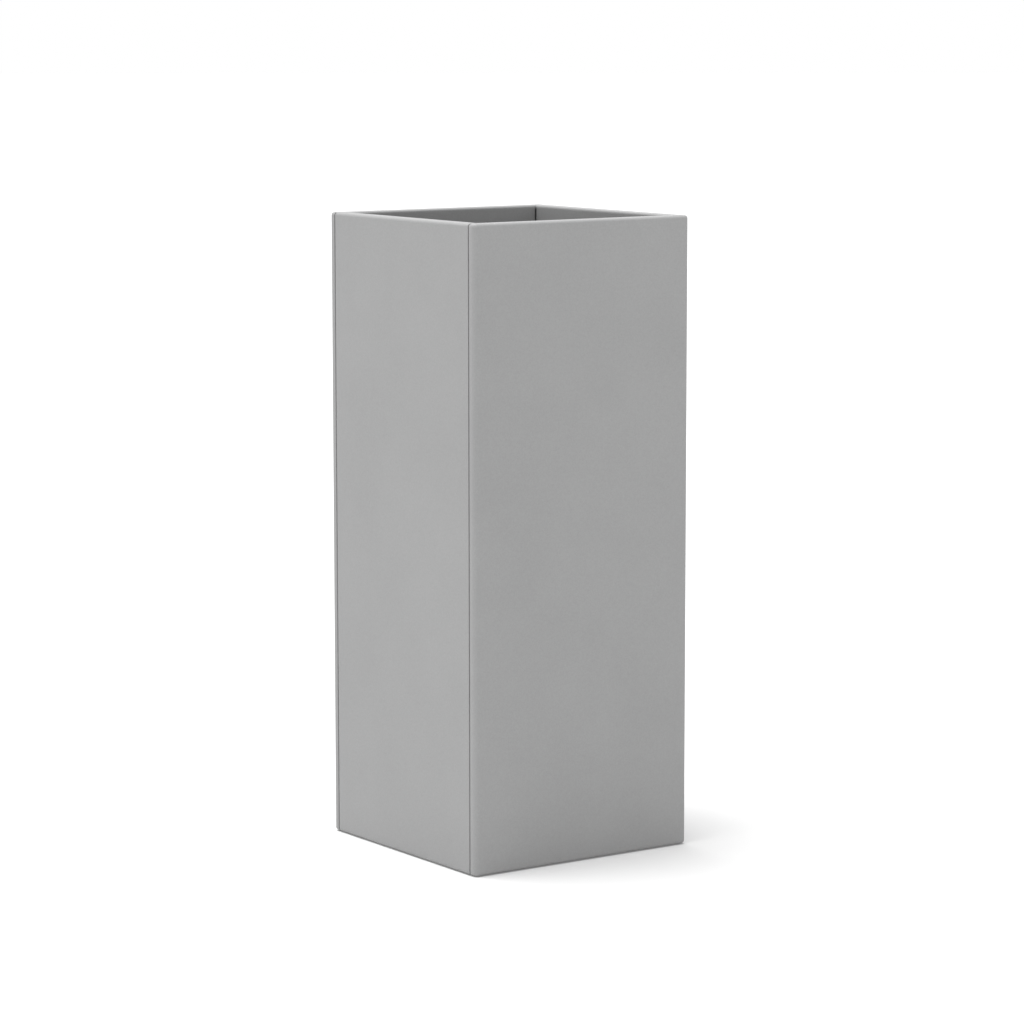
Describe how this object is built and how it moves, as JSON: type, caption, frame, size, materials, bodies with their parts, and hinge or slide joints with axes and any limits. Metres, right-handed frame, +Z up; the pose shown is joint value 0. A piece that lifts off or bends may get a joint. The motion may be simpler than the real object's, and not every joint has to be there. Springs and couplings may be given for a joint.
{
  "type": "tall square floor planter",
  "caption": "Tall square box planter in matt grey glass-fibre plastic, with a turned-in rim, fine seams near the corners, a lift-out shelf and a drain plug.",
  "frame": {"origin": "on the floor, under the middle of the planter", "axes": "+Z up; -Y is the front face, the wide right-hand face of the picture; -X is the left side face, with two seams in view"},
  "size_m": [0.33, 0.33, 0.813],
  "materials": {
    "gelcoat": "matt mid-grey gelcoat, very finely textured",
    "laminate": "glass-fibre laminate brushed with grey resin, fibres showing through",
    "moulded_shelf": "dark grey moulded glass-fibre plastic, matt",
    "sealant": "dark grey sealant, satin",
    "rubber": "black rubber, matt"
  },
  "bodies": {
    "planter": {"front_shell": "gelcoat", "back_shell": "gelcoat", "left_side_panel": "gelcoat", "right_side_panel": "gelcoat", "seam_bead_front_left": "sealant", "seam_bead_front_right": "sealant", "seam_bead_back_right": "sealant", "seam_bead_back_left": "sealant", "base_panel": "laminate", "corner_tape_front_left": "laminate", "corner_tape_front_right": "laminate", "corner_tape_back_right": "laminate", "corner_tape_back_left": "laminate", "base_tape_front": "laminate", "base_tape_right": "laminate", "base_tape_back": "laminate", "base_tape_left": "laminate", "shelf_ledge_front": "laminate", "shelf_ledge_right": "laminate", "shelf_ledge_back": "laminate", "shelf_ledge_left": "laminate", "foot_pad_front_left": "rubber", "foot_pad_front_right": "rubber", "foot_pad_back_right": "rubber", "foot_pad_back_left": "rubber"},
    "shelf": {"lift_out_shelf": "moulded_shelf"},
    "plug": {"drain_plug": "rubber"}
  },
  "joints": [
    {"name": "shelf_lift", "type": "slide", "parent": "planter", "child": "shelf", "axis": [0, 0, 1], "range_m": [0, 0.38]},
    {"name": "plug_pull", "type": "slide", "parent": "planter", "child": "plug", "axis": [0, 0, 1], "range_m": [0, 0.06]}
  ]
}
